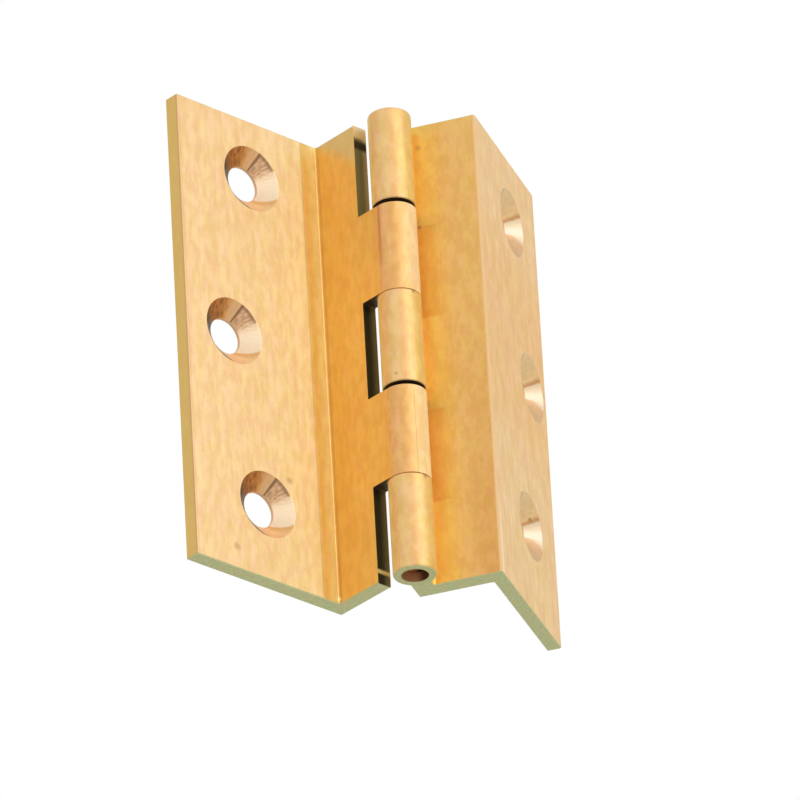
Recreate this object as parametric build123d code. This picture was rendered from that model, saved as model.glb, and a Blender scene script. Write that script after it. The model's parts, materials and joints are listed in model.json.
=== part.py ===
from build123d import *
import os
from math import radians, tan

# Cranked brass hinge for a rebated casement: two drawn-brass leaves on one pin.
# Frame: the pin axis is Z, with Z = 0 at the lower end of the inner leaf.
# The inner leaf's arm runs along +X and its screw wing along +Y, the side of the wood.
# All sizes are in millimetres.

# Knuckles and pin
LEAF_LENGTH = 64.0
KNUCKLE_COUNT = 5
KNUCKLE_DIA = 5.4
PIN_DIA = 3.4
PIN_RECESS = 1.3
RUNNING_CLEARANCE = 0.05
AXIAL_PLAY = 0.65
SEAT_GAP = 0.05

# Leaves: an arm leaves the knuckles and a wing, with the screws, turns off it at a right angle
NEST_GAP = 0.75
OPEN_ANGLE = 209.0

INNER_WING_FACE = 10.0
INNER_WING_DEPTH = 22.5
INNER_ARM_THICKNESS = 2.3
INNER_WING_THICKNESS = 1.85
HEEL_REACH = 1.4
NECK_REACH = 1.25

OUTER_WING_DEPTH = 22.8
OUTER_ARM_THICKNESS = 2.1
OUTER_WING_THICKNESS = 2.1
NOTCH_CLEARANCE = 1.05

# Corner radii of the drawn sections, of the notches, and what deburring takes off cut edges
NECK_FILLET = 0.3
INSIDE_FILLET = 0.3
OUTSIDE_ROUND = 0.3
FREE_EDGE_ROUND = 0.2
HEEL_ROUND = 0.2
NOTCH_ROUND = 0.2
EDGE_BREAK = 0.12

# Screw holes
HOLE_DIA = 4.7
COUNTERSINK_DIA = 8.8
COUNTERSINK_ANGLE = 100.0
HOLE_STAGGER = 4.1
INNER_HOLE_FROM_EDGE = 5.4
INNER_HOLE_FROM_FOOT = 12.4
INNER_HOLE_FROM_HEAD = 8.8
OUTER_HOLE_FROM_EDGE = 7.7
OUTER_HOLE_FROM_FOOT = 10.35
OUTER_HOLE_FROM_HEAD = 8.15

# Places that follow from the sizes above
knuckle_r = KNUCKLE_DIA / 2
knuckle_pitch = LEAF_LENGTH / KNUCKLE_COUNT
inner_arm_face = knuckle_r + NEST_GAP
inner_arm_back = inner_arm_face + INNER_ARM_THICKNESS
inner_wing_back = INNER_WING_FACE - INNER_WING_THICKNESS
inner_wing_end = inner_arm_face + INNER_WING_DEPTH
outer_arm_back = knuckle_r - OUTER_ARM_THICKNESS
outer_wing_face = INNER_WING_FACE + NEST_GAP
outer_wing_back = outer_wing_face + OUTER_WING_THICKNESS
outer_wing_end = knuckle_r + OUTER_WING_DEPTH
notch_edge = knuckle_r + NOTCH_CLEARANCE
outer_drop = AXIAL_PLAY / 2 - SEAT_GAP


def rectangle(x_low, x_high, y_low, y_high):
    """Rectangle in the section plane between two opposite corners."""
    centre = Pos((x_low + x_high) / 2, (y_low + y_high) / 2)
    return centre * Rectangle(x_high - x_low, y_high - y_low)


def rounded(section, x, y, radius):
    """Round the corner of the section that lies at (x, y)."""
    corner = section.vertices().sort_by_distance((x, y))[0]
    return fillet(corner, radius)


def block(x_low, x_high, y_low, y_high, z_low, z_high):
    """Upright block that cuts a slot or a notch."""
    return extrude(Pos(0, 0, z_low) * rectangle(x_low, x_high, y_low, y_high), z_high - z_low)


def cut_bar(section):
    """Length of drawn bar with the edges of its two sawn ends eased."""
    bar = extrude(section, LEAF_LENGTH)
    ends = bar.faces().sort_by(Axis.Z)
    edges = ends[0].outer_wire().edges() + ends[-1].outer_wire().edges()
    return chamfer(edges, EDGE_BREAK)


def countersunk_hole(thickness):
    """Cutter along +Z, from the back of a wing to the countersink's mouth at Z = thickness."""
    hole_r = HOLE_DIA / 2
    mouth_r = COUNTERSINK_DIA / 2
    depth = (mouth_r - hole_r) / tan(radians(COUNTERSINK_ANGLE / 2))
    hole = Pos(0, 0, thickness / 2) * Cylinder(hole_r, thickness * 2)
    cone = Pos(0, 0, thickness - depth / 2) * Cone(hole_r, mouth_r, depth)
    return hole + cone


def hole_places(far_row, from_foot, from_head):
    """Row and height of each of a wing's holes; the middle hole lies in the row further out."""
    near_row = far_row - HOLE_STAGGER
    head_height = LEAF_LENGTH - from_head
    middle_height = (from_foot + head_height) / 2
    return [
        (near_row, from_foot),
        (far_row, middle_height),
        (near_row, head_height),
    ]


def inner_section():
    """Closed outline of the inner leaf where it has a knuckle, without the bore."""
    arm = rectangle(-HEEL_REACH, INNER_WING_FACE, inner_arm_face, inner_arm_back)
    wing = rectangle(inner_wing_back, INNER_WING_FACE, inner_arm_face, inner_wing_end)
    angle = arm + wing
    angle = rounded(angle, INNER_WING_FACE, inner_arm_face, OUTSIDE_ROUND)
    angle = rounded(angle, inner_wing_back, inner_arm_back, INSIDE_FILLET)
    angle = rounded(angle, INNER_WING_FACE, inner_wing_end, FREE_EDGE_ROUND)
    angle = rounded(angle, inner_wing_back, inner_wing_end, FREE_EDGE_ROUND)
    angle = rounded(angle, -HEEL_REACH, inner_arm_back, HEEL_ROUND)
    neck = rectangle(-HEEL_REACH, NECK_REACH, 0, inner_arm_face)
    section = angle + neck + Circle(knuckle_r)
    return rounded(section, NECK_REACH, inner_arm_face, NECK_FILLET)


def inner_leaf():
    """Leaf with the first, third and fifth knuckle, drawn as one bar and then slotted."""
    leaf = cut_bar(inner_section())
    for index in range(1, KNUCKLE_COUNT, 2):
        low = index * knuckle_pitch
        leaf -= block(-notch_edge, notch_edge, -notch_edge, inner_arm_face, low, low + knuckle_pitch)
    arcs = leaf.edges().filter_by(GeomType.CIRCLE)
    knuckle_arcs = [arc for arc in arcs if abs(arc.radius - knuckle_r) < EDGE_BREAK / 2]
    leaf = chamfer(knuckle_arcs, EDGE_BREAK)
    leaf -= Pos(0, 0, LEAF_LENGTH / 2) * Cylinder(PIN_DIA / 2, LEAF_LENGTH)
    cutter = countersunk_hole(INNER_WING_THICKNESS)
    far_row = inner_wing_end - INNER_HOLE_FROM_EDGE
    for row, height in hole_places(far_row, INNER_HOLE_FROM_FOOT, INNER_HOLE_FROM_HEAD):
        place = Pos(inner_wing_back, row, height)
        leaf -= place * Rot(0, 90, 0) * cutter
    return leaf


def outer_section():
    """Outline of the outer leaf in its closed place, round the inner leaf."""
    arm = rectangle(0, outer_wing_back, outer_arm_back, knuckle_r)
    wing = rectangle(outer_wing_face, outer_wing_back, outer_arm_back, outer_wing_end)
    angle = arm + wing
    angle = rounded(angle, outer_wing_face, knuckle_r, INSIDE_FILLET)
    angle = rounded(angle, outer_wing_back, outer_arm_back, OUTSIDE_ROUND)
    angle = rounded(angle, outer_wing_face, outer_wing_end, FREE_EDGE_ROUND)
    angle = rounded(angle, outer_wing_back, outer_wing_end, FREE_EDGE_ROUND)
    return angle + Circle(knuckle_r)


def outer_leaf():
    """Leaf with the second and fourth knuckle, dropped onto its lower seats and swung open."""
    leaf = cut_bar(outer_section())
    half_play = AXIAL_PLAY / 2
    for index in range(0, KNUCKLE_COUNT, 2):
        low = index * knuckle_pitch - half_play
        high = (index + 1) * knuckle_pitch + half_play
        notch = block(-notch_edge, notch_edge, -notch_edge, notch_edge, low, high)
        corners = notch.edges().filter_by(Axis.Y).sort_by(Axis.X)[-2:]
        leaf -= fillet(corners, NOTCH_ROUND)
    running_r = PIN_DIA / 2 + RUNNING_CLEARANCE
    leaf -= Pos(0, 0, LEAF_LENGTH / 2) * Cylinder(running_r, LEAF_LENGTH)
    cutter = countersunk_hole(OUTER_WING_THICKNESS)
    far_row = outer_wing_end - OUTER_HOLE_FROM_EDGE
    for row, height in hole_places(far_row, OUTER_HOLE_FROM_FOOT, OUTER_HOLE_FROM_HEAD):
        place = Pos(outer_wing_back, row, height)
        leaf -= place * Rot(0, -90, 0) * cutter
    return Pos(0, 0, -outer_drop) * Rot(0, 0, -OPEN_ANGLE) * leaf


def hinge_pin():
    """Straight pin, pressed into the inner leaf and set in from both ends."""
    length = LEAF_LENGTH - 2 * PIN_RECESS
    return Pos(0, 0, LEAF_LENGTH / 2) * Cylinder(PIN_DIA / 2, length)


os.makedirs("parts", exist_ok=True)
export_step(inner_leaf(), "parts/inner_leaf.step")
export_step(outer_leaf(), "parts/outer_leaf.step")
export_step(hinge_pin(), "parts/hinge_pin.step")
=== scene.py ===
"""Cranked brass hinge for a rebated casement, dressed round its CAD frame.

The pin axis is Z, the inner leaf's arm runs along +X and its screw wing along +Y.
Pieces, camera and light are placed in metres, in the frame of the CAD model.
Materials work in millimetres in a leaf's own section, U along its arm and V along its wing.
"""

import json
from math import cos, radians, sin

import bpy
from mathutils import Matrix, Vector

MM_PER_METRE = 1000.0

# Camera: below the hinge and a little to its right, far off, with a long lens
CAMERA_PLACE = (0.355482, -1.106898, -0.603687)
CAMERA_TURN = (118.4131, 2.8795, 19.3918)
CAMERA_LENS = 486.858
CAMERA_SENSOR = 36.0
CAMERA_CLIP = (0.05, 20.0)

# Studio: a pale floor far below, a white surround that is dimmer underneath, and one soft light
FLOOR_DEPTH = 1.6
FLOOR_HALF_WIDTH = 6.0
FLOOR_COLOUR = (0.82, 0.82, 0.80)
FLOOR_ROUGH = 0.9
SURROUND_SEEN = (1.0, 1.0, 1.0)
SURROUND_ABOVE = (0.74, 0.74, 0.73)
SURROUND_BELOW = (0.50, 0.54, 0.48)
SURROUND_EDGE = (-0.30, 0.12)
KEY_AZIMUTH = 58.0
KEY_ELEVATION = 14.0
KEY_DISTANCE = 0.9
KEY_SIDE = 0.6
KEY_POWER = 4.0

# Sections of the leaves, in millimetres, that the finishes follow
LEAF_LENGTH = 64.0
END_MARGIN = 0.7
KNUCKLE_RADIUS = 2.7
SECOND_KNUCKLE = (36.9, 49.7)
FOURTH_KNUCKLE = (11.3, 24.1)
OUTER_LEAF_TURN = 209.0
OUTER_WING_FACE = 10.75
OUTER_WING_BACK = 12.85
OUTER_WING_END = 25.5
OUTER_ARM_BACK = 0.6
NOTCH_EDGE = 3.75
INSIDE_FILLET = 0.3
INNER_WING_BACK = 8.15
INNER_WING_ROOT = 3.6
MOUTH_RADIUS = 4.4
HOLE_RADIUS = 2.35

# Slack round the faces that a mask takes in, and the softness of thin bands, in millimetres
SKIN = 0.05
TUBE_SKIN = 0.03
RIM_SKIN = 0.03
LAND_SKIN = 0.02
BACK_SKIN = 0.01
THIN_SOFT = 0.02

# How square to an axis a face is where a mask by facing starts and ends: 1 is square, 0 along it,
# and below 0 it faces the other way
WING_FACING = (0.8, 0.95)
SLOT_FACING = (0.85, 0.95)
SAWN_FACING = (0.5, 0.68)
ARM_FACING = (0.4, 0.8)
FRONT_FACING = (-0.2, -0.6)
EDGE_FACING = (0.3, 0.6)
HALF_FACING = 0.5

# Outer leaf: places and widths in millimetres, and strengths from 0 to 1.
# A line is its middle and its reach to each side. Another pair is where a mask starts and where
# it is full, and three numbers are a band's two ends and how soft they are.
# The strip at the outer wing's root is a painted reflection of the arm, paler towards the corner as
# painted light; the crease line and the fillet's tint are painted shade in the inside corner.
STRIP_END = 5.1
STRIP_SOFT = 0.3
STRIP_FADE = (STRIP_END - 0.2, KNUCKLE_RADIUS + 0.3)
STRIP_STRENGTH = 0.9
STRIP_LINE = (STRIP_END + 0.15, 0.2)
STRIP_LINE_STRENGTH = 0.3
CREASE_FROM_WING = 0.4
CREASE_WIDTH = 0.2
CREASE_STRENGTH = 0.2
# The outer wing is painted paler towards the crank as painted light, and darker towards the top as
# painted shade.
NEAR_FROM = 18.0
TOP_HEIGHTS = (36.0, 60.0)
DRESSED_BACK = (OUTER_WING_BACK - 0.4, OUTER_WING_BACK - 0.2)
ARM_TOP_SLOPE = 0.8
ARM_TOP_EDGE = (54.6, 56.6)
ARM_TOP_STRENGTH = 0.6
FREE_EDGE = (OUTER_WING_END - 0.5, OUTER_WING_END - 0.2)
FREE_EDGE_STRENGTH = 0.6
FREE_CORNER_WIDTH = 0.2
FREE_CORNER_STRENGTH = 0.8
SEAM_WIDTH = (0.35, 0.1)
SEAM_DEPTH = 0.2
SEAM_HEIGHTS = (SECOND_KNUCKLE[0] + 3, SECOND_KNUCKLE[1] - 4)
SEAM_STRENGTH = 0.8
# Notch faces: painted shade, lighter towards their back as painted light, with a painted dark spot and
# painted glints by height.
NOTCH_SHADE = (2.0, 0.7)
TOP_NOTCH_SHADE = (1.7, 0.6)
TOP_NOTCH_FROM = (50.0, 51.0)
NOTCH_SPOT = (60.5, 61.7, 0.3)
NOTCH_GLINT = (1.2, 1.7, 0.2)
NOTCH_LIT_FROM = (61.8, 62.4)

# Dark line along the fourth knuckle: its turn and reach in degrees about the pin, and its soft ends in
# mm
KNUCKLE_LINE_TURN = -47.0
KNUCKLE_LINE_WIDTH = 2.5
KNUCKLE_LINE_STRENGTH = 0.35
KNUCKLE_LINE_SOFT = 0.3

# Inner leaf, the same way as the outer one
ARM_TAN_FROM = (3.6, 6.5)
ARM_TAN_STRENGTH = 0.7
# Beside the knuckles the inner arm carries painted reflections of them: golden by its own, deeper orange
# by the outer leaf's.
BESIDE_KNUCKLES = (5.2, 3.2)
BESIDE_STRENGTH = 0.7
DEEP_STRENGTH = 0.75
DEEP_SOFT = 0.15
# The inner arm is darker towards the bottom and its far end, as painted shade.
LOW_HEIGHTS = (45.0, 0.0)
LOW_FROM_PIN = (5.0, 9.0)
LOW_STRENGTH = 0.6
ROOT_SOFT = 0.2
CLOUDED_SHARE = 0.6
WARM_HEIGHTS = (24, 50, 6)
ROOT_LINE = (3.95, 0.6)
ROOT_LINE_HEIGHTS = (14.0, 3.0)
ROUND_ALONG_ARM = (9.62, 9.72)
ROUND_ALONG_WING = (3.83, 3.73)
BORE_REACH = 1.85
BORE_LIGHT = (0.7, -0.5)

# Countersinks: how far in degrees the lower tints lean, the painted shade near a rim and the tool's
# chatter
SINK_SKEW = 30.0
RIM_SHADE_TURNS = (114, 148, 3)
RIM_SHADE_DEPTH = (0.22, 0.08)
RIM_SHADE_STRENGTH = 0.7
CHATTER_PER_DEGREE = 0.16
CHATTER_PER_MM = 1.6
CHATTER_HEIGHT = 0.3

# Grain: where noise counts as none and as all, how it is drawn out, and how the pin's end is shaded
SOFT_NOISE = (0.3, 0.7)
BELT_NOISE = (0.35, 0.7)
CLEAR_NOISE = (0.35, 0.65)
BELT_STRETCH = 0.12
DRAWN_BROAD = {"Lines per mm": 0.8, "Stretch": 0.05}
LINISHED_FINE = {"Lines per mm": 2.4, "Stretch": 0.06}
LINISHED_BROAD = {"Lines per mm": 0.9, "Stretch": 0.15}
SAWN_MOTTLE = {"Patches per mm": 0.8, "Grain per mm": 2.6}
SAWN_WARM_SHARE = 0.45
PIN_PATCHES_PER_MM = 0.9
PIN_PATCH_SHARE = 0.8
PIN_SHADE = (-0.8, 0.9)

# Shares in the tone: fine lines, broad lines, and patches or scratches
DRAWN_SHARES = (0.35, 0.3, 0.35)
LINISHED_SHARES = (0.25, 0.6, 0.15)

# Handling stains: strength, stretch along the bar and, where it isn't one, stains per mm
OUTER_STAINS = (0.9, 0.45)
INNER_STAINS = (1.0, 0.5)
KNUCKLE_STAINS = (1.0, 0.5)
INNER_WING_CLOUDS = (0.7, 0.8, 0.4)

# Painted lines and spots: how much of each is its solid core, and how a spot's outline wanders
LINE_CORE = 0.3
SPOT_CORE = 0.2
SPOT_WANDER_PER_MM = 1.6
SPOT_WANDER_BASE = 0.5

# Edges and relief; these two lengths are in metres, as the shaders take them
EDGE_EASE = 0.00008
RELIEF = 0.000012
RELIEF_STRENGTH = 0.3
EDGE_LIKENESS = (0.995, 0.85)
BURNISH = 0.12

# Blemishes, as a place in a leaf's section, a radius in millimetres and a strength
OUTER_SPOTS = (
    ((10.75, 19.1, 2.7), 0.75, 0.45),
    ((10.75, 9.9, 14.5), 0.65, 0.5),
)
INNER_SPOTS = (
    ((2.45, 3.45, 60.9), 0.6, 0.4),
    ((10.0, 13.4, 15.5), 0.5, 0.5),
    ((9.15, 18.9, 14.7), 0.4, 0.8),
    ((-0.1, -2.7, 26.6), 0.3, 0.6),
    ((2.3, -1.4, 38.2), 0.5, 0.7),
    ((2.4, -1.2, 12.6), 0.5, 0.7),
    ((2.05, 3.45, 49.7), 0.35, 0.8),
)
# A painted glint at the foot of the inside corner, given the same way
CORNER_GLINT = ((10.75, 2.9, 0.4), 0.5, 0.9)

# Brass finishes and the painted light and shade on them: how metallic and how rough they are, and their
# colours in linear light
LEAF_METALLIC = 0.55
PIN_METALLIC = 0.6
PIN_ROUGH = 0.4
DRAWN_ROUGH = 0.43
LINISHED_ROUGH = 0.55
KNUCKLE_ROUGH = 0.62
CONE_ROUGH = 0.4
INNER_ROUND_ROUGH = 0.9
LINISHED_PALE = (0.97, 0.735, 0.43)
LINISHED_NEAR = (0.98, 0.80, 0.46)
LINISHED_INNER = (1.0, 0.74, 0.43)
LINISHED_TOP = (0.97, 0.94, 0.92)
LINISHED_SHADE = (0.94, 0.87, 0.78)
DRAWN_PALE = (1.0, 0.635, 0.175)
DRAWN_SHADE = (0.98, 0.84, 0.67)
ARM_TAN = (0.97, 0.61, 0.225)
ARM_BESIDE = (0.96, 0.71, 0.17)
ARM_DEEP = (0.88, 0.46, 0.09)
ARM_TOP_DULL = (0.81, 0.60, 0.26)
ARM_LOW = (0.88, 0.70, 0.60)
# Colours of the strip's painted reflection, also used for painted glints, and of the painted shade in
# the fillet
STRIP_PALE = (1.0, 0.84, 0.38)
STRIP_DEEP = (0.87, 0.56, 0.15)
CREASE_SHADE = (0.92, 0.80, 0.73)
STAIN_BROWN = (0.93, 0.87, 0.78)
STAIN_PINK = (1.0, 0.955, 1.0)
STAIN_YELLOW = (0.98, 1.0, 0.86)
EDGE_BRIGHT = (0.98, 0.72, 0.40)
EDGE_OLIVE = (0.84, 0.60, 0.19)
EDGE_BROWN = (0.66, 0.38, 0.20)
OLIVE = (0.42, 0.30, 0.10)
SAWN_PALE = (0.77, 0.79, 0.43)
SAWN_DEEP = (0.60, 0.65, 0.34)
SAWN_WARM = (0.86, 0.67, 0.34)
# Painted shade and light in the notches and slots
NOTCH_DARK = (0.030, 0.030, 0.012)
NOTCH_OLIVE = (0.20, 0.21, 0.12)
NOTCH_BROWN = (0.23, 0.22, 0.10)
NOTCH_LIT = (0.52, 0.52, 0.36)
SLOT_DARK = (0.10, 0.06, 0.035)
ROUND_TAN = (0.88, 0.62, 0.33)
ROOT_CREAM = (1.0, 0.84, 0.53)
INNER_WARM = (1.0, 0.92, 0.82)
LAND_ORANGE = (0.92, 0.56, 0.32)
SPOT_BROWN = (0.45, 0.24, 0.09)
COPPER = (0.72, 0.30, 0.12)
BORE_DARK = (0.045, 0.018, 0.010)
BORE_SHADE = (0.18, 0.07, 0.03)
BORE_COPPER = (0.78, 0.40, 0.19)

# Painted light and shade round the knuckles, with a highlight stripe, by degrees about the pin with the
# leaves as they lie open
KNUCKLE_TAN = (0.92, 0.63, 0.28)
KNUCKLE_RIM = (1.0, 0.84, 0.40)
KNUCKLE_ORANGE = (1.0, 0.66, 0.29)
KNUCKLE_PINK = (1.0, 0.70, 0.335)
KNUCKLE_SHADED = (0.90, 0.56, 0.26)
KNUCKLE_OLIVE = (0.84, 0.59, 0.20)
STRIPE_YELLOW = (0.94, 0.64, 0.29)
EYE_ORANGE = (0.97, 0.58, 0.23)
EYE_TAN = (1.0, 0.60, 0.27)
EYE_BROWN = (0.93, 0.55, 0.205)
EYE_STRIPE = (0.91, 0.58, 0.25)
EYE_CREAM = (0.94, 0.67, 0.36)
EYE_PALE = (0.98, 0.80, 0.48)
INNER_KNUCKLE_TINTS = (
    (-180, KNUCKLE_TAN),
    (-160, KNUCKLE_RIM),
    (-144, KNUCKLE_RIM),
    (-130, KNUCKLE_ORANGE),
    (-105, KNUCKLE_PINK),
    (-84, KNUCKLE_PINK),
    (-66, KNUCKLE_SHADED),
    (-52, STRIPE_YELLOW),
    (-40, STRIPE_YELLOW),
    (-29, KNUCKLE_OLIVE),
    (-6, KNUCKLE_OLIVE),
    (20, KNUCKLE_TAN),
)
OUTER_KNUCKLE_TINTS = (
    (-180, EYE_ORANGE),
    (-125, EYE_ORANGE),
    (-108, EYE_TAN),
    (-93, EYE_TAN),
    (-82, EYE_BROWN),
    (-70, EYE_BROWN),
    (-58, EYE_STRIPE),
    (-30, EYE_CREAM),
    (-12, EYE_PALE),
    (60, EYE_PALE),
    (120, EYE_ORANGE),
)

# Painted reflections of light and shade round a countersink, by degrees from -180, where 0 is away from
# the pin and 90 is up.
# The third value is how much chatter the tool left there, from 0 to 1.
CONE_CREAM = (0.81, 0.70, 0.52)
CONE_BUFF = (0.83, 0.65, 0.43)
CONE_PALE = (1.0, 0.78, 0.54)
CONE_PINK = (1.0, 0.72, 0.47)
CONE_ROSE = (0.86, 0.66, 0.47)
CONE_SAND = (0.79, 0.49, 0.26)
CONE_GOLD = (1.0, 0.65, 0.32)
CONE_TAN = (0.95, 0.56, 0.28)
CONE_ORANGE = (0.84, 0.45, 0.16)
CONE_AMBER = (0.70, 0.33, 0.115)
CONE_UMBER = (0.54, 0.24, 0.08)
CONE_BROWN = (0.28, 0.16, 0.08)
CONE_GREEN = (0.055, 0.055, 0.024)
CONE_MATT = (0.93, 0.55, 0.32)
CONE_SHADE_LINE = (0.34, 0.17, 0.09)
CONE_RUSSET = (0.70, 0.36, 0.15)
CONE_OLIVE = (0.71, 0.48, 0.24)
CONE_PATCH = (0.74, 0.56, 0.31)
CONE_WING = (1.0, 0.70, 0.37)
CONE_DEEP = (0.20, 0.09, 0.04)
OUTER_CONE_TINTS = (
    (-180, CONE_PALE, 0.05),
    (-162, CONE_PALE, 0.05),
    (-157, CONE_ORANGE, 0.1),
    (-132, CONE_GOLD, 0.1),
    (-108, CONE_TAN, 0.1),
    (-92, CONE_TAN, 0.1),
    (-82, CONE_GREEN, 0),
    (8, CONE_GREEN, 0),
    (24, CONE_BROWN, 0.3),
    (40, CONE_UMBER, 0.7),
    (74, CONE_AMBER, 0.6),
    (84, CONE_ORANGE, 0.3),
    (93, CONE_TAN, 0.1),
    (109, CONE_TAN, 0.1),
    (111, CONE_SHADE_LINE, 0.2),
    (113.5, CONE_SHADE_LINE, 0.2),
    (116.5, CONE_MATT, 0.45),
    (140, CONE_MATT, 0.45),
    (152, CONE_PINK, 0.2),
    (162, CONE_PALE, 0.05),
)
INNER_CONE_TINTS = (
    (-180, CONE_WING, 0),
    (-120, CONE_WING, 0),
    (-85, CONE_OLIVE, 0.1),
    (-52, CONE_OLIVE, 0.1),
    (-38, CONE_SAND, 0.1),
    (-22, CONE_SAND, 0.1),
    (-12, CONE_ROSE, 0.1),
    (-2, CONE_CREAM, 0.05),
    (14, CONE_CREAM, 0.05),
    (24, CONE_BUFF, 0.05),
    (33, CONE_BUFF, 0.05),
    (36, CONE_RUSSET, 0.2),
    (39, CONE_RUSSET, 0.2),
    (46, CONE_GOLD, 0.1),
    (84, CONE_WING, 0.1),
    (112, CONE_WING, 0.1),
    (122, CONE_PATCH, 0.1),
    (140, CONE_PATCH, 0.1),
    (158, CONE_WING, 0),
)


def make(tree, kind, inputs=None, **settings):
    """Add a node with its settings; an input that is given a socket is linked to it."""
    node = tree.nodes.new(kind)
    for name, value in settings.items():
        setattr(node, name, value)
    for name, value in (inputs or {}).items():
        if isinstance(value, bpy.types.NodeSocket):
            tree.links.new(value, node.inputs[name])
        else:
            node.inputs[name].default_value = value
    return node


def calculate(tree, operation, *values):
    """Output of a Math node on numbers or sockets."""
    inputs = {index: value for index, value in enumerate(values)}
    return make(tree, "ShaderNodeMath", inputs, operation=operation).outputs[0]


def multiply(tree, first, *others):
    """Product of numbers or sockets, at least one of them a socket."""
    for other in others:
        first = calculate(tree, "MULTIPLY", first, other)
    return first


def invert(tree, mask):
    """One minus a mask."""
    return calculate(tree, "SUBTRACT", 1.0, mask)


def opaque(colour):
    """Colour with full alpha; a socket stays as it is."""
    if isinstance(colour, bpy.types.NodeSocket):
        return colour
    return (*colour, 1.0)


def mix_colours(tree, factor, first, second, blend_type="MIX"):
    """Colour between two others, by a factor from 0 to 1."""
    inputs = {0: factor, 6: opaque(first), 7: opaque(second)}
    node = make(tree, "ShaderNodeMix", inputs, data_type="RGBA", blend_type=blend_type)
    return node.outputs[2]


def mix_values(tree, factor, first, second):
    """Number between two others, by a factor from 0 to 1."""
    return make(tree, "ShaderNodeMix", {0: factor, 2: first, 3: second}).outputs[0]


def rise(tree, value, low, high):
    """0 below low and 1 above high, with a soft step between; low may be the greater one."""
    inputs = {"Value": value, "From Min": low, "From Max": high}
    return make(tree, "ShaderNodeMapRange", inputs, interpolation_type="SMOOTHSTEP").outputs[0]


def band(tree, value, low, high, soft):
    """1 between low and high, and 0 outside, with soft edges."""
    up = rise(tree, value, low - soft, low + soft)
    down = rise(tree, value, high + soft, high - soft)
    return multiply(tree, up, down)


def length_of(tree, first, second):
    """Length of the hypotenuse over two sides."""
    squares = calculate(tree, "ADD", multiply(tree, first, first), multiply(tree, second, second))
    return calculate(tree, "SQRT", squares)


def new_group(name, inputs, outputs):
    """Empty shader group with named sockets, given as (name, kind) or (name, kind, default)."""
    group = bpy.data.node_groups.new(name, "ShaderNodeTree")
    for socket_name, kind, *default in inputs:
        socket = group.interface.new_socket(socket_name, in_out="INPUT", socket_type=kind)
        if default:
            socket.default_value = default[0]
    for socket_name, kind in outputs:
        group.interface.new_socket(socket_name, in_out="OUTPUT", socket_type=kind)
    start = group.nodes.new("NodeGroupInput")
    end = group.nodes.new("NodeGroupOutput")
    return group, start.outputs, end.inputs


def use_group(tree, name, inputs):
    """Place a group in a material, with its own values, and give its outputs."""
    node = tree.nodes.new("ShaderNodeGroup")
    node.node_tree = bpy.data.node_groups[name]
    for socket_name, value in inputs.items():
        if isinstance(value, bpy.types.NodeSocket):
            tree.links.new(value, node.inputs[socket_name])
        else:
            node.inputs[socket_name].default_value = value
    return node.outputs


def make_section_group():
    """Place in millimetres and facing, both with the leaf turned shut by Turn, in radians."""
    group, given, out = new_group(
        "section",
        [("Turn", "NodeSocketFloat", 0.0)],
        [
            ("Place", "NodeSocketVector"),
            ("U", "NodeSocketFloat"),
            ("V", "NodeSocketFloat"),
            ("Z", "NodeSocketFloat"),
            ("Facing U", "NodeSocketFloat"),
            ("Facing V", "NodeSocketFloat"),
            ("Facing Z", "NodeSocketFloat"),
            ("Radius", "NodeSocketFloat"),
            ("Angle", "NodeSocketFloat"),
        ],
    )
    coordinates = make(group, "ShaderNodeTexCoord")
    turned = {}
    for source in ("Object", "Normal"):
        inputs = {"Vector": coordinates.outputs[source], "Angle": given["Turn"]}
        node = make(group, "ShaderNodeVectorRotate", inputs, rotation_type="Z_AXIS")
        turned[source] = node.outputs[0]
    inputs = {0: turned["Object"], "Scale": MM_PER_METRE}
    place = make(group, "ShaderNodeVectorMath", inputs, operation="SCALE").outputs[0]
    group.links.new(place, out["Place"])
    parts = make(group, "ShaderNodeSeparateXYZ", {0: place}).outputs
    facing = make(group, "ShaderNodeSeparateXYZ", {0: turned["Normal"]}).outputs
    for index, axis in enumerate(("U", "V", "Z")):
        group.links.new(parts[index], out[axis])
        group.links.new(facing[index], out["Facing " + axis])
    group.links.new(length_of(group, parts[0], parts[1]), out["Radius"])
    angle = calculate(group, "DEGREES", calculate(group, "ARCTAN2", parts[1], parts[0]))
    group.links.new(angle, out["Angle"])


def make_lines_group():
    """Fine lines along Z that the drawing die leaves; Stretch is how short they are."""
    group, given, out = new_group(
        "die_lines",
        [
            ("Place", "NodeSocketVector"),
            ("Lines per mm", "NodeSocketFloat", 3.0),
            ("Stretch", "NodeSocketFloat", 0.03),
        ],
        [("Lines", "NodeSocketFloat")],
    )
    stretch = make(group, "ShaderNodeCombineXYZ", {0: 1.0, 1: 1.0, 2: given["Stretch"]}).outputs[0]
    inputs = {0: given["Place"], 1: stretch}
    squeezed = make(group, "ShaderNodeVectorMath", inputs, operation="MULTIPLY").outputs[0]
    inputs = {"Vector": squeezed, "Scale": given["Lines per mm"], "Detail": 3.0, "Roughness": 0.6}
    noise = make(group, "ShaderNodeTexNoise", inputs).outputs[0]
    group.links.new(rise(group, noise, *SOFT_NOISE), out["Lines"])


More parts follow.
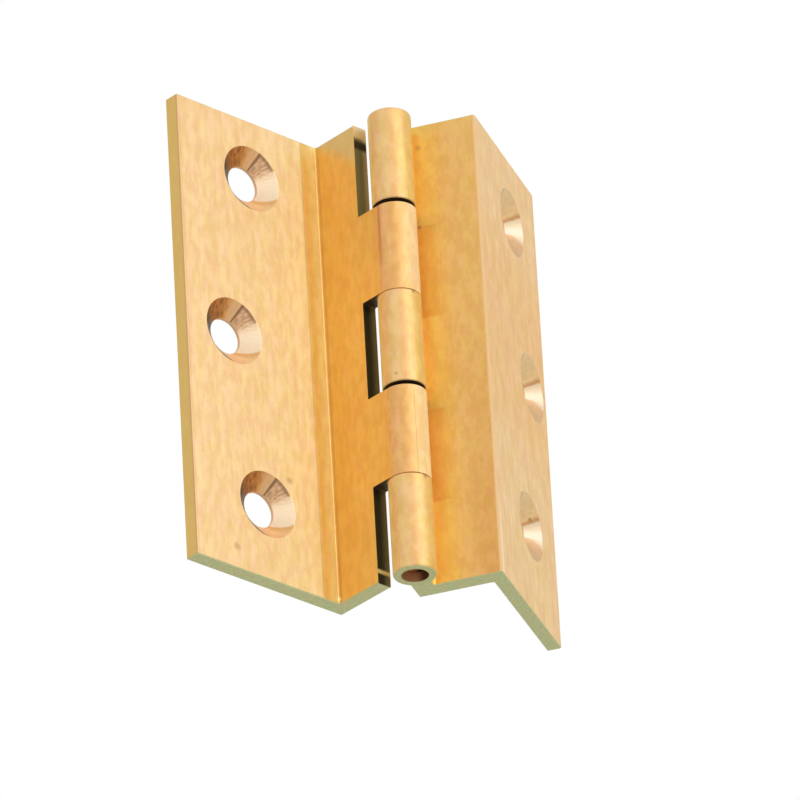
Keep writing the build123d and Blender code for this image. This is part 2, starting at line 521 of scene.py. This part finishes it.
def make_hatch_group():
    """Fine scratches across the leaf, as a linishing belt leaves them."""
    group, given, out = new_group(
        "belt_scratches",
        [("Place", "NodeSocketVector"), ("Scratches per mm", "NodeSocketFloat", 4.0)],
        [("Scratches", "NodeSocketFloat")],
    )
    inputs = {0: BELT_STRETCH, 1: BELT_STRETCH, 2: 1.0}
    stretch = make(group, "ShaderNodeCombineXYZ", inputs).outputs[0]
    inputs = {0: given["Place"], 1: stretch}
    squeezed = make(group, "ShaderNodeVectorMath", inputs, operation="MULTIPLY").outputs[0]
    inputs = {"Vector": squeezed, "Scale": given["Scratches per mm"], "Detail": 2.0, "Roughness": 0.6}
    noise = make(group, "ShaderNodeTexNoise", inputs).outputs[0]
    group.links.new(rise(group, noise, *BELT_NOISE), out["Scratches"])


def make_mottle_group():
    """Soft patches and fine grain of handled brass."""
    group, given, out = new_group(
        "mottle",
        [
            ("Place", "NodeSocketVector"),
            ("Patches per mm", "NodeSocketFloat", 0.35),
            ("Grain per mm", "NodeSocketFloat", 2.2),
        ],
        [("Patches", "NodeSocketFloat"), ("Grain", "NodeSocketFloat")],
    )
    for name, source, detail in (("Patches", "Patches per mm", 2.0), ("Grain", "Grain per mm", 3.0)):
        inputs = {"Vector": given["Place"], "Scale": given[source], "Detail": detail, "Roughness": 0.55}
        noise = make(group, "ShaderNodeTexNoise", inputs).outputs[0]
        group.links.new(rise(group, noise, *SOFT_NOISE), out[name])


def make_countersink_group():
    """Machined cone of one screw hole: its mask, its narrow land, how far round and how far in."""
    group, given, out = new_group(
        "countersink",
        [("Place", "NodeSocketVector"), ("Hole", "NodeSocketVector"), ("Back", "NodeSocketFloat")],
        [
            ("Cone", "NodeSocketFloat"),
            ("Land", "NodeSocketFloat"),
            ("Turn", "NodeSocketFloat"),
            ("Depth", "NodeSocketFloat"),
            ("Chatter", "NodeSocketFloat"),
        ],
    )
    inputs = {0: given["Place"], 1: given["Hole"]}
    offset = make(group, "ShaderNodeVectorMath", inputs, operation="SUBTRACT").outputs[0]
    parts = make(group, "ShaderNodeSeparateXYZ", {0: offset}).outputs
    radius = length_of(group, parts[1], parts[2])
    place = make(group, "ShaderNodeSeparateXYZ", {0: given["Place"]}).outputs
    from_back = calculate(group, "ABSOLUTE", calculate(group, "SUBTRACT", place[0], given["Back"]))
    inside = calculate(group, "LESS_THAN", radius, MOUTH_RADIUS + RIM_SKIN)
    inside = multiply(group, inside, calculate(group, "GREATER_THAN", from_back, BACK_SKIN))
    cone = multiply(group, inside, calculate(group, "GREATER_THAN", radius, HOLE_RADIUS + LAND_SKIN))
    turn = calculate(group, "DEGREES", calculate(group, "ARCTAN2", parts[2], parts[1]))
    depth = make(group, "ShaderNodeMapRange", {0: radius, 1: MOUTH_RADIUS, 2: HOLE_RADIUS}).outputs[0]
    below = calculate(group, "LESS_THAN", turn, 0.0)
    skew = multiply(group, depth, below, -SINK_SKEW)
    inputs = {0: multiply(group, turn, CHATTER_PER_DEGREE), 1: radius}
    around = make(group, "ShaderNodeCombineXYZ", inputs).outputs[0]
    inputs = {"Vector": around, "Scale": CHATTER_PER_MM, "Detail": 2.0}
    chatter = make(group, "ShaderNodeTexNoise", inputs).outputs[0]
    group.links.new(cone, out["Cone"])
    group.links.new(calculate(group, "SUBTRACT", inside, cone), out["Land"])
    group.links.new(calculate(group, "ADD", turn, skew), out["Turn"])
    group.links.new(depth, out["Depth"])
    group.links.new(rise(group, chatter, *CLEAR_NOISE), out["Chatter"])


def make_stain_group():
    """Colour with the soft brown, pink and yellow clouding of handled brass."""
    group, given, out = new_group(
        "handling_stains",
        [
            ("Colour", "NodeSocketColor"),
            ("Place", "NodeSocketVector"),
            ("Stains per mm", "NodeSocketFloat", 1.0),
            ("Strength", "NodeSocketFloat", 1.0),
            ("Stretch", "NodeSocketFloat", 1.0),
        ],
        [("Colour", "NodeSocketColor")],
    )
    stretch = make(group, "ShaderNodeCombineXYZ", {0: 1.0, 1: 1.0, 2: given["Stretch"]}).outputs[0]
    inputs = {0: given["Place"], 1: stretch}
    squeezed = make(group, "ShaderNodeVectorMath", inputs, operation="MULTIPLY").outputs[0]
    inputs = {"Vector": squeezed, "Scale": given["Stains per mm"], "Detail": 2.0, "Roughness": 0.6}
    noise = make(group, "ShaderNodeTexNoise", inputs)
    parts = make(group, "ShaderNodeSeparateColor", {0: noise.outputs["Color"]}).outputs
    brown = multiply(group, rise(group, parts[0], *CLEAR_NOISE), given["Strength"])
    colour = mix_colours(group, brown, given["Colour"], STAIN_BROWN, "MULTIPLY")
    tint = mix_colours(group, rise(group, parts[1], *CLEAR_NOISE), STAIN_PINK, STAIN_YELLOW)
    colour = mix_colours(group, given["Strength"], colour, tint, "MULTIPLY")
    group.links.new(colour, out["Colour"])


def make_edge_group():
    """Normal with the sharp edges eased by Width, and a mask of those edges."""
    group, given, out = new_group(
        "eased_edges",
        [("Width", "NodeSocketFloat", EDGE_EASE)],
        [("Normal", "NodeSocketVector"), ("Edge", "NodeSocketFloat")],
    )
    bevel = make(group, "ShaderNodeBevel", {"Radius": given["Width"]}, samples=4).outputs[0]
    plain = make(group, "ShaderNodeNewGeometry").outputs["Normal"]
    inputs = {0: bevel, 1: plain}
    likeness = make(group, "ShaderNodeVectorMath", inputs, operation="DOT_PRODUCT").outputs["Value"]
    group.links.new(bevel, out["Normal"])
    group.links.new(rise(group, likeness, *EDGE_LIKENESS), out["Edge"])


def start_material(name):
    """New material with its tree and its Principled shader."""
    material = bpy.data.materials.new(name)
    material.use_nodes = True
    tree = material.node_tree
    return material, tree, tree.nodes["Principled BSDF"]


def add_drawn_bar(tree, place, pale):
    """Colour and height of brass as it leaves the drawing die."""
    fine = use_group(tree, "die_lines", {"Place": place})["Lines"]
    broad = use_group(tree, "die_lines", {"Place": place, **DRAWN_BROAD})["Lines"]
    patches = use_group(tree, "mottle", {"Place": place})["Patches"]
    fine_share, broad_share, patch_share = DRAWN_SHARES
    tone = calculate(tree, "ADD", multiply(tree, fine, fine_share), multiply(tree, broad, broad_share))
    tone = calculate(tree, "MULTIPLY_ADD", patches, patch_share, tone)
    return mix_colours(tree, tone, pale, DRAWN_SHADE, "MULTIPLY"), tone


def add_linished(tree, place, pale):
    """Colour and height of brass that a belt has dressed flat."""
    fine = use_group(tree, "die_lines", {"Place": place, **LINISHED_FINE})["Lines"]
    broad = use_group(tree, "die_lines", {"Place": place, **LINISHED_BROAD})["Lines"]
    scratches = use_group(tree, "belt_scratches", {"Place": place})["Scratches"]
    fine_share, broad_share, scratch_share = LINISHED_SHARES
    scratched = multiply(tree, scratches, scratch_share)
    tone = calculate(tree, "ADD", multiply(tree, fine, fine_share), scratched)
    tone = calculate(tree, "MULTIPLY_ADD", broad, broad_share, tone)
    return mix_colours(tree, tone, pale, LINISHED_SHADE, "MULTIPLY"), tone


def add_stains(tree, place, colour, strength, stretch, per_mm=1.0):
    """Colour clouded by handling; the clouds are drawn out along the bar where stretch is low."""
    inputs = {
        "Colour": colour,
        "Place": place,
        "Stains per mm": per_mm,
        "Strength": strength,
        "Stretch": stretch,
    }
    return use_group(tree, "handling_stains", inputs)["Colour"]


def add_sawn(tree, place):
    """Grey-green colour of a sawn end, warmer in patches."""
    mottle = use_group(tree, "mottle", {"Place": place, **SAWN_MOTTLE})
    colour = mix_colours(tree, mottle["Grain"], SAWN_PALE, SAWN_DEEP)
    warm = multiply(tree, mottle["Patches"], SAWN_WARM_SHARE)
    return mix_colours(tree, warm, colour, SAWN_WARM)


def add_line(tree, colour, value, centre, width, line_colour, strength=1.0):
    """Colour with a thin line painted where a value is near its centre."""
    away = calculate(tree, "ABSOLUTE", calculate(tree, "SUBTRACT", value, centre))
    line = rise(tree, away, width, width * LINE_CORE)
    return mix_colours(tree, multiply(tree, line, strength), colour, line_colour)


def add_spot(tree, colour, place, spot, spot_colour):
    """Colour with one small soft spot, given by its centre, its radius and its strength; the spots are
    blemishes and one painted glint.
    """
    centre, radius, strength = spot
    inputs = {"Vector": place, "Scale": SPOT_WANDER_PER_MM}
    wander = make(tree, "ShaderNodeTexNoise", inputs).outputs[0]
    inputs = {0: place, 1: centre}
    away = make(tree, "ShaderNodeVectorMath", inputs, operation="DISTANCE").outputs["Value"]
    away = multiply(tree, away, calculate(tree, "ADD", wander, SPOT_WANDER_BASE))
    mark = multiply(tree, rise(tree, away, radius, radius * SPOT_CORE), strength)
    return mix_colours(tree, mark, colour, spot_colour)


def add_tints(tree, degrees, stops):
    """Colour by degrees from -180, and how marked the surface is there, where the stops say."""
    share = calculate(tree, "MULTIPLY_ADD", degrees, 1 / 360, 0.5)
    ramp = make(tree, "ShaderNodeValToRGB", {0: share})
    elements = ramp.color_ramp.elements
    while len(elements) < len(stops):
        elements.new(0.5)
    for element, (turn, colour, *marks) in zip(elements, stops):
        element.position = turn / 360 + 0.5
        element.color = (*colour, *(marks or [1.0]))
    return ramp.outputs["Color"], ramp.outputs["Alpha"]


def add_countersinks(tree, place, wing_back, holes, stops, finish, dark_lined=False):
    """Finish with its screw holes machined; the cone's tints, painted reflections of light and shade,
    turn round it by the stops.
    """
    colour, rough, height = finish
    for hole in holes:
        sink = use_group(tree, "countersink", {"Place": place, "Hole": hole, "Back": wing_back})
        # Painted reflections of light and shade round the cone
        cone, marks = add_tints(tree, sink["Turn"], stops)
        cone = mix_colours(tree, multiply(tree, marks, sink["Chatter"]), cone, CONE_DEEP)
        if dark_lined:
            # Painted shade near the rim
            near_rim = rise(tree, sink["Depth"], *RIM_SHADE_DEPTH)
            rim_shade = multiply(tree, near_rim, band(tree, sink["Turn"], *RIM_SHADE_TURNS))
            cone = mix_colours(tree, multiply(tree, rim_shade, RIM_SHADE_STRENGTH), cone, CONE_SHADE_LINE)
        colour = mix_colours(tree, sink["Cone"], colour, cone)
        colour = mix_colours(tree, sink["Land"], colour, LAND_ORANGE)
        rough = mix_values(tree, sink["Cone"], rough, CONE_ROUGH)
        chatter = multiply(tree, sink["Chatter"], CHATTER_HEIGHT)
        height = mix_values(tree, sink["Cone"], height, chatter)
    return colour, rough, height


def sawn_and_notched(tree, at, place, colour, seat_side):
    """Colour with grey-green sawn ends and slots painted dark as shade; the seats the leaves bear on
    stay bright.
    """
    upright = calculate(tree, "ABSOLUTE", at["Facing Z"])
    slot = rise(tree, upright, *SLOT_FACING)
    knuckle_end = calculate(tree, "LESS_THAN", at["Radius"], KNUCKLE_RADIUS + SKIN)
    seated = calculate(tree, "GREATER_THAN", multiply(tree, at["Facing Z"], seat_side), 0.0)
    seat = multiply(tree, knuckle_end, seated)
    from_middle = calculate(tree, "ABSOLUTE", calculate(tree, "SUBTRACT", at["Z"], LEAF_LENGTH / 2))
    end = calculate(tree, "GREATER_THAN", from_middle, LEAF_LENGTH / 2 - END_MARGIN)
    # Painted shade in the slots
    colour = mix_colours(tree, multiply(tree, slot, invert(tree, seat)), colour, SLOT_DARK)
    sawn = multiply(tree, end, rise(tree, upright, *SAWN_FACING))
    return mix_colours(tree, sawn, colour, add_sawn(tree, place))


def close_material(tree, shader, colour, rough, height):
    """Join a finish to the shader, over eased and slightly burnished edges."""
    eased = use_group(tree, "eased_edges", {})
    colour = mix_colours(tree, multiply(tree, eased["Edge"], BURNISH), colour, EDGE_BRIGHT)
    inputs = {
        "Height": height,
        "Distance": RELIEF,
        "Strength": RELIEF_STRENGTH,
        "Normal": eased["Normal"],
    }
    bump = make(tree, "ShaderNodeBump", inputs).outputs[0]
    tree.links.new(colour, shader.inputs["Base Color"])
    tree.links.new(rough, shader.inputs["Roughness"])
    tree.links.new(bump, shader.inputs["Normal"])


def flat_of_wing(tree, at):
    """Mask of the faces square to U, which are both sides of a wing."""
    return rise(tree, calculate(tree, "ABSOLUTE", at["Facing U"]), *WING_FACING)


def tube_of_knuckle(tree, at):
    """Mask of the round knuckles."""
    return calculate(tree, "LESS_THAN", at["Radius"], KNUCKLE_RADIUS + TUBE_SKIN)


def paint_crank(tree, at, flat, colour):
    """Strip of bare drawn brass at the wing's root, coloured as a painted reflection of the arm and
    paler towards the corner as painted light, and the corner's line and fillet as painted shade.
    """
    on_face = band(tree, at["U"], OUTER_WING_FACE - 2 * SKIN, OUTER_WING_FACE + 2 * SKIN, SKIN)
    below_end = rise(tree, at["V"], STRIP_END + STRIP_SOFT, STRIP_END - STRIP_SOFT)
    strip = multiply(tree, flat, on_face, below_end)
    # Painted reflection of the arm on the strip, paler towards the corner as painted light
    strip_colour = mix_colours(tree, rise(tree, at["V"], *STRIP_FADE), STRIP_DEEP, STRIP_PALE)
    colour = mix_colours(tree, multiply(tree, strip, STRIP_STRENGTH), colour, strip_colour)
    lined = add_line(tree, colour, at["V"], *STRIP_LINE, OLIVE, STRIP_LINE_STRENGTH)
    colour = mix_colours(tree, on_face, colour, lined)
    # Painted shade: an olive line in the crease on the arm
    on_arm = calculate(tree, "GREATER_THAN", at["Facing V"], HALF_FACING)
    line = OUTER_WING_FACE - CREASE_FROM_WING
    creased = add_line(tree, colour, at["U"], line, CREASE_WIDTH, OLIVE, CREASE_STRENGTH)
    colour = mix_colours(tree, on_arm, colour, creased)
    # Painted shade over the inside fillet
    across = band(tree, at["U"], OUTER_WING_FACE - INSIDE_FILLET, OUTER_WING_FACE + SKIN, THIN_SOFT)
    along = band(tree, at["V"], KNUCKLE_RADIUS, KNUCKLE_RADIUS + INSIDE_FILLET, THIN_SOFT)
    return mix_colours(tree, multiply(tree, across, along), colour, CREASE_SHADE, "MULTIPLY")


def paint_outer_knuckles(tree, at, place, tube, colour):
    """Second and fourth knuckle in painted light and shade: tan, a yellow highlight stripe, cream on the
    right, a dark line on the fourth, and a seam on the left.
    """
    round_pin = use_group(tree, "section", {})["Angle"]
    # Painted light and shade round the knuckle
    knuckle = add_tints(tree, round_pin, OUTER_KNUCKLE_TINTS)[0]
    dark_lined = add_line(tree, knuckle, round_pin, KNUCKLE_LINE_TURN, KNUCKLE_LINE_WIDTH, OLIVE, KNUCKLE_LINE_STRENGTH)
    fourth = band(tree, at["Z"], *FOURTH_KNUCKLE, KNUCKLE_LINE_SOFT)
    knuckle = mix_colours(tree, fourth, knuckle, dark_lined)
    knuckle = add_stains(tree, place, knuckle, *KNUCKLE_STAINS)
    colour = mix_colours(tree, tube, colour, knuckle)
    seam = rise(tree, calculate(tree, "ABSOLUTE", at["U"]), *SEAM_WIDTH)
    seam = multiply(tree, seam, calculate(tree, "GREATER_THAN", at["V"], KNUCKLE_RADIUS - SEAM_DEPTH))
    seam = multiply(tree, seam, rise(tree, at["Z"], *SEAM_HEIGHTS), SEAM_STRENGTH)
    return mix_colours(tree, seam, colour, COPPER)


def paint_notch_faces(tree, at, colour):
    """Faces of the notches painted dark as shade and lighter towards their back as painted light, olive
    in the top one, with a painted dark spot and the spots of light at both ends.
    """
    notch = calculate(tree, "LESS_THAN", at["U"], NOTCH_EDGE + SKIN)
    notch = multiply(tree, notch, calculate(tree, "GREATER_THAN", at["Radius"], KNUCKLE_RADIUS + SKIN))
    inside = band(tree, at["V"], OUTER_ARM_BACK + SKIN, KNUCKLE_RADIUS - SKIN, THIN_SOFT)
    notch = multiply(tree, notch, inside)
    # Painted shade on the notch faces, lighter towards their back as painted light
    shade = mix_colours(tree, rise(tree, at["V"], *NOTCH_SHADE), NOTCH_DARK, NOTCH_OLIVE)
    top_shade = mix_colours(tree, rise(tree, at["V"], *TOP_NOTCH_SHADE), NOTCH_BROWN, NOTCH_LIT)
    shade = mix_colours(tree, rise(tree, at["Z"], *TOP_NOTCH_FROM), shade, top_shade)
    shade = mix_colours(tree, band(tree, at["Z"], *NOTCH_SPOT), shade, NOTCH_DARK)
    shade = mix_colours(tree, band(tree, at["Z"], *NOTCH_GLINT), shade, STRIP_PALE)
    shade = mix_colours(tree, rise(tree, at["Z"], *NOTCH_LIT_FROM), shade, SAWN_WARM)
    return mix_colours(tree, notch, colour, shade)


def paint_arm_top(tree, at, tube, colour):
    """Duller corner at the top of the outer arm, above a slanting edge."""
    on_arm = multiply(tree, rise(tree, at["Facing V"], *ARM_FACING), invert(tree, tube))
    slanting = calculate(tree, "MULTIPLY_ADD", at["U"], -ARM_TOP_SLOPE, at["Z"])
    dulled = multiply(tree, rise(tree, slanting, *ARM_TOP_EDGE), on_arm, ARM_TOP_STRENGTH)
    return mix_colours(tree, dulled, colour, ARM_TOP_DULL)


def paint_free_edge(tree, at, colour):
    """Olive free edge of the outer wing, with a brown line at its front corner."""
    at_edge = rise(tree, at["V"], *FREE_EDGE)
    free_edge = multiply(tree, rise(tree, at["Facing V"], *EDGE_FACING), at_edge)
    colour = mix_colours(tree, multiply(tree, free_edge, FREE_EDGE_STRENGTH), colour, EDGE_OLIVE)
    corner = band(tree, at["U"], OUTER_WING_FACE, OUTER_WING_FACE + FREE_CORNER_WIDTH, SKIN)
    corner = multiply(tree, at_edge, corner)
    return mix_colours(tree, multiply(tree, corner, FREE_CORNER_STRENGTH), colour, EDGE_BROWN)


def outer_leaf_material(holes):
    """Outer leaf: pale linished wing with a drawn strip at its root coloured as a painted reflection,
    orange arm, knuckles in painted light and shade.
    """
    material, tree, shader = start_material("outer_leaf_brass")
    shader.inputs["Metallic"].default_value = LEAF_METALLIC
    at = use_group(tree, "section", {"Turn": radians(OUTER_LEAF_TURN)})
    place = at["Place"]
    drawn, drawn_tone = add_drawn_bar(tree, place, DRAWN_PALE)
    # Painted light: paler towards the crank; painted shade: darker towards the top
    near = rise(tree, at["V"], NEAR_FROM, STRIP_END)
    pale = mix_colours(tree, near, LINISHED_PALE, LINISHED_NEAR)
    pale = mix_colours(tree, rise(tree, at["Z"], *TOP_HEIGHTS), pale, LINISHED_TOP, "MULTIPLY")
    linished, linished_tone = add_linished(tree, place, pale)
    flat = flat_of_wing(tree, at)
    past_strip = rise(tree, at["V"], STRIP_END - STRIP_SOFT, STRIP_END + STRIP_SOFT)
    dressed = calculate(tree, "MAXIMUM", rise(tree, at["U"], *DRESSED_BACK), past_strip)
    wing = multiply(tree, flat, dressed)
    colour = mix_colours(tree, wing, drawn, linished)
    colour = paint_crank(tree, at, flat, colour)
    colour = add_stains(tree, place, colour, *OUTER_STAINS)
    height = mix_values(tree, wing, drawn_tone, linished_tone)
    rough = mix_values(tree, wing, DRAWN_ROUGH, LINISHED_ROUGH)

    tube = tube_of_knuckle(tree, at)
    colour = paint_outer_knuckles(tree, at, place, tube, colour)
    rough = mix_values(tree, tube, rough, KNUCKLE_ROUGH)
    colour = paint_arm_top(tree, at, tube, colour)
    colour = paint_notch_faces(tree, at, colour)
    colour = paint_free_edge(tree, at, colour)
    colour = sawn_and_notched(tree, at, place, colour, -1)
    finish = (colour, rough, height)
    finish = add_countersinks(tree, place, OUTER_WING_BACK, holes, OUTER_CONE_TINTS, finish, dark_lined=True)
    colour, rough, height = finish
    for spot in OUTER_SPOTS:
        colour = add_spot(tree, colour, place, spot, SPOT_BROWN)
    # Painted glint at the foot of the inside corner
    colour = add_spot(tree, colour, place, CORNER_GLINT, STRIP_PALE)
    close_material(tree, shader, colour, rough, height)
    return material


def paint_inner_arm(tree, at, place):
    """Tan arm with painted reflections of the knuckles beside them, golden by its own and deeper orange
    by the outer leaf's, and darker low down as painted shade.
    """
    drawn, tone = add_drawn_bar(tree, place, DRAWN_PALE)
    away = multiply(tree, rise(tree, at["U"], *ARM_TAN_FROM), ARM_TAN_STRENGTH)
    arm = mix_colours(tree, away, drawn, ARM_TAN)
    # Painted reflection of the knuckles beside them
    front = rise(tree, at["Facing V"], *FRONT_FACING)
    beside = multiply(tree, front, rise(tree, at["U"], *BESIDE_KNUCKLES))
    arm = mix_colours(tree, multiply(tree, beside, BESIDE_STRENGTH), arm, ARM_BESIDE)
    # Painted reflections of the second and fourth knuckles in the arm
    for knuckle in (SECOND_KNUCKLE, FOURTH_KNUCKLE):
        mirrored = multiply(tree, beside, band(tree, at["Z"], *knuckle, DEEP_SOFT), DEEP_STRENGTH)
        arm = mix_colours(tree, mirrored, arm, ARM_DEEP)
    # Painted shade: darker towards the bottom and the arm's far end
    low = rise(tree, at["Z"], *LOW_HEIGHTS)
    low = multiply(tree, low, rise(tree, at["U"], *LOW_FROM_PIN), LOW_STRENGTH)
    return mix_colours(tree, low, arm, ARM_LOW, "MULTIPLY"), tone


def paint_inner_wing(tree, at, place, wing, arm, linished):
    """Clouded linished wing, warmer in the middle, with a cream line low at its root."""
    linished = add_stains(tree, place, linished, *INNER_WING_CLOUDS)
    colour = add_stains(tree, place, mix_colours(tree, wing, arm, linished), *INNER_STAINS)
    colour = mix_colours(tree, multiply(tree, wing, CLOUDED_SHARE), colour, linished)
    warm = multiply(tree, wing, band(tree, at["Z"], *WARM_HEIGHTS))
    colour = mix_colours(tree, warm, colour, INNER_WARM, "MULTIPLY")
    low = multiply(tree, wing, rise(tree, at["Z"], *ROOT_LINE_HEIGHTS))
    lined = add_line(tree, colour, at["V"], *ROOT_LINE, ROOT_CREAM)
    return mix_colours(tree, low, colour, lined)


def bore_of_leaf(tree, at):
    """Mask of the bore's wall."""
    near_pin = calculate(tree, "LESS_THAN", at["Radius"], BORE_REACH)
    upright = calculate(tree, "ABSOLUTE", at["Facing Z"])
    return multiply(tree, near_pin, calculate(tree, "LESS_THAN", upright, HALF_FACING))


def inner_leaf_material(holes):
    """Inner leaf: linished wing, tan arm that is deeper beside the knuckles with their painted
    reflections, knuckles in painted light and shade.
    """
    material, tree, shader = start_material("inner_leaf_brass")
    shader.inputs["Metallic"].default_value = LEAF_METALLIC
    at = use_group(tree, "section", {})
    place = at["Place"]
    arm, drawn_tone = paint_inner_arm(tree, at, place)
    linished, linished_tone = add_linished(tree, place, LINISHED_INNER)
    wing = rise(tree, at["V"], INNER_WING_ROOT - ROOT_SOFT, INNER_WING_ROOT + ROOT_SOFT)
    wing = multiply(tree, flat_of_wing(tree, at), wing)
    colour = paint_inner_wing(tree, at, place, wing, arm, linished)
    height = mix_values(tree, wing, drawn_tone, linished_tone)
    rough = mix_values(tree, wing, DRAWN_ROUGH, LINISHED_ROUGH)
    along_arm = rise(tree, at["U"], *ROUND_ALONG_ARM)
    outside_round = multiply(tree, along_arm, rise(tree, at["V"], *ROUND_ALONG_WING))
    colour = mix_colours(tree, outside_round, colour, ROUND_TAN)
    rough = mix_values(tree, outside_round, rough, INNER_ROUND_ROUGH)

    tube = tube_of_knuckle(tree, at)
    # Painted light and shade round the knuckles, by degrees about the pin
    knuckle = add_tints(tree, at["Angle"], INNER_KNUCKLE_TINTS)[0]
    knuckle = add_stains(tree, place, knuckle, *KNUCKLE_STAINS)
    colour = mix_colours(tree, tube, colour, knuckle)
    rough = mix_values(tree, tube, rough, KNUCKLE_ROUGH)
    colour = sawn_and_notched(tree, at, place, colour, 1)
    # Painted shade on the bore's wall, and painted light on its side towards -U
    bored = mix_colours(tree, rise(tree, at["U"], *BORE_LIGHT), BORE_SHADE, BORE_COPPER)
    colour = mix_colours(tree, bore_of_leaf(tree, at), colour, bored)
    finish = (colour, rough, height)
    finish = add_countersinks(tree, place, INNER_WING_BACK, holes, INNER_CONE_TINTS, finish)
    colour, rough, height = finish
    for spot in INNER_SPOTS:
        colour = add_spot(tree, colour, place, spot, SPOT_BROWN)
    close_material(tree, shader, colour, rough, height)
    return material


def pin_material():
    """Drawn wire, brown and coppery on the end that shows in the lowest knuckle: painted light on one
    side and painted shade on the other.
    """
    material, tree, shader = start_material("pin_brass")
    shader.inputs["Metallic"].default_value = PIN_METALLIC
    shader.inputs["Roughness"].default_value = PIN_ROUGH
    at = use_group(tree, "section", {})
    inputs = {"Place": at["Place"], "Patches per mm": PIN_PATCHES_PER_MM}
    patches = use_group(tree, "mottle", inputs)["Patches"]
    # Painted light on one side of the pin and painted shade on the other
    shaded = rise(tree, at["U"], *PIN_SHADE)
    side = calculate(tree, "MULTIPLY_ADD", patches, PIN_PATCH_SHARE, shaded)
    tree.links.new(mix_colours(tree, side, COPPER, BORE_DARK), shader.inputs["Base Color"])
    return material


def dress(node, material):
    """Give a CAD node one material through its own slots."""
    if not node.material_slots:
        node.data.materials.append(material)
    for slot in node.material_slots:
        slot.material = material


def hole_places(record, names, turn):
    """Axis of each named mount's hole, in millimetres, in a leaf's section turned shut."""
    places = []
    angle = radians(turn)
    for mount in record["mounts"]:
        if mount["name"] in names:
            x, y, z = (MM_PER_METRE * part for part in mount["pos_m"])
            u = x * cos(angle) - y * sin(angle)
            v = x * sin(angle) + y * cos(angle)
            spread = mount["dims"].get("spacing_y_mm", 0.0) / 2
            heights = {z - spread, z + spread}
            places += [(u, v, height) for height in sorted(heights)]
    return places


def add_camera():
    """The photograph's camera, fitted to the hinge's corners."""
    data = bpy.data.cameras.new("camera")
    data.lens = CAMERA_LENS
    data.sensor_width = CAMERA_SENSOR
    data.clip_start, data.clip_end = CAMERA_CLIP
    camera = bpy.data.objects.new("camera", data)
    camera.location = CAMERA_PLACE
    camera.rotation_euler = [radians(angle) for angle in CAMERA_TURN]
    bpy.context.scene.collection.objects.link(camera)
    bpy.context.scene.camera = camera


def add_floor():
    """Plain pale floor, far enough below for a camera that looks up at the hinge."""
    mesh = bpy.data.meshes.new("floor")
    half = FLOOR_HALF_WIDTH
    corners = [(-half, -half, 0), (half, -half, 0), (half, half, 0), (-half, half, 0)]
    mesh.from_pydata(corners, [], [(0, 1, 2, 3)])
    floor = bpy.data.objects.new("floor", mesh)
    floor.location.z = -FLOOR_DEPTH
    floor.visible_glossy = False
    bpy.context.scene.collection.objects.link(floor)
    material, tree, shader = start_material("floor_paint")
    shader.inputs["Base Color"].default_value = opaque(FLOOR_COLOUR)
    shader.inputs["Roughness"].default_value = FLOOR_ROUGH
    mesh.materials.append(material)


def add_surround():
    """White surround: what the camera sees of it is pure white, and its light is dimmer underneath."""
    world = bpy.data.worlds.new("surround")
    world.use_nodes = True
    tree = world.node_tree
    direction = make(tree, "ShaderNodeTexCoord").outputs["Generated"]
    height = make(tree, "ShaderNodeSeparateXYZ", {0: direction}).outputs[2]
    above = rise(tree, height, *SURROUND_EDGE)
    light = tree.nodes["Background"]
    tree.links.new(mix_colours(tree, above, SURROUND_BELOW, SURROUND_ABOVE), light.inputs["Color"])
    seen = make(tree, "ShaderNodeBackground", {"Color": opaque(SURROUND_SEEN), "Strength": 1.0})
    path = make(tree, "ShaderNodeLightPath")
    inputs = {0: path.outputs["Is Camera Ray"], 1: light.outputs[0], 2: seen.outputs[0]}
    both = make(tree, "ShaderNodeMixShader", inputs)
    tree.links.new(both.outputs[0], tree.nodes["World Output"].inputs["Surface"])
    bpy.context.scene.world = world


def add_key_light():
    """Square soft light to the right of the hinge and a little above it."""
    data = bpy.data.lights.new("key", "AREA")
    data.shape = "RECTANGLE"
    data.size = KEY_SIDE
    data.size_y = KEY_SIDE
    data.energy = KEY_POWER
    light = bpy.data.objects.new("key", data)
    turn = radians(KEY_AZIMUTH)
    lift = radians(KEY_ELEVATION)
    way = Vector((sin(turn) * cos(lift), -cos(turn) * cos(lift), sin(lift)))
    centre = Vector((0, 0, LEAF_LENGTH / 2 / MM_PER_METRE))
    light.location = centre + way * KEY_DISTANCE
    light.rotation_euler = way.to_track_quat("Z", "Y").to_euler()
    bpy.context.scene.collection.objects.link(light)


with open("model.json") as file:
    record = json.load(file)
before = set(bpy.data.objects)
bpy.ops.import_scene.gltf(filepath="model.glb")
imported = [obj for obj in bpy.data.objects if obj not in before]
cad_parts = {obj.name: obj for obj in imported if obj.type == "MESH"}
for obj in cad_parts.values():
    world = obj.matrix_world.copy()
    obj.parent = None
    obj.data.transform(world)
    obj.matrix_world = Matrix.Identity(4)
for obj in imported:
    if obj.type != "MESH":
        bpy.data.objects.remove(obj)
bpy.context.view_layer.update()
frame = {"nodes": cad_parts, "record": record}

make_section_group()
make_lines_group()
make_hatch_group()
make_mottle_group()
make_countersink_group()
make_stain_group()
make_edge_group()

inner_holes = hole_places(frame["record"], {"inner_screw_holes", "inner_middle_hole"}, 0.0)
outer_names = {"outer_hole_low", "outer_hole_middle", "outer_hole_high"}
outer_holes = hole_places(frame["record"], outer_names, OUTER_LEAF_TURN)
dress(frame["nodes"]["inner_leaf"], inner_leaf_material(inner_holes))
dress(frame["nodes"]["outer_leaf"], outer_leaf_material(outer_holes))
dress(frame["nodes"]["hinge_pin"], pin_material())

add_camera()
add_floor()
add_surround()
add_key_light()
bpy.context.scene.view_settings.view_transform = "Standard"
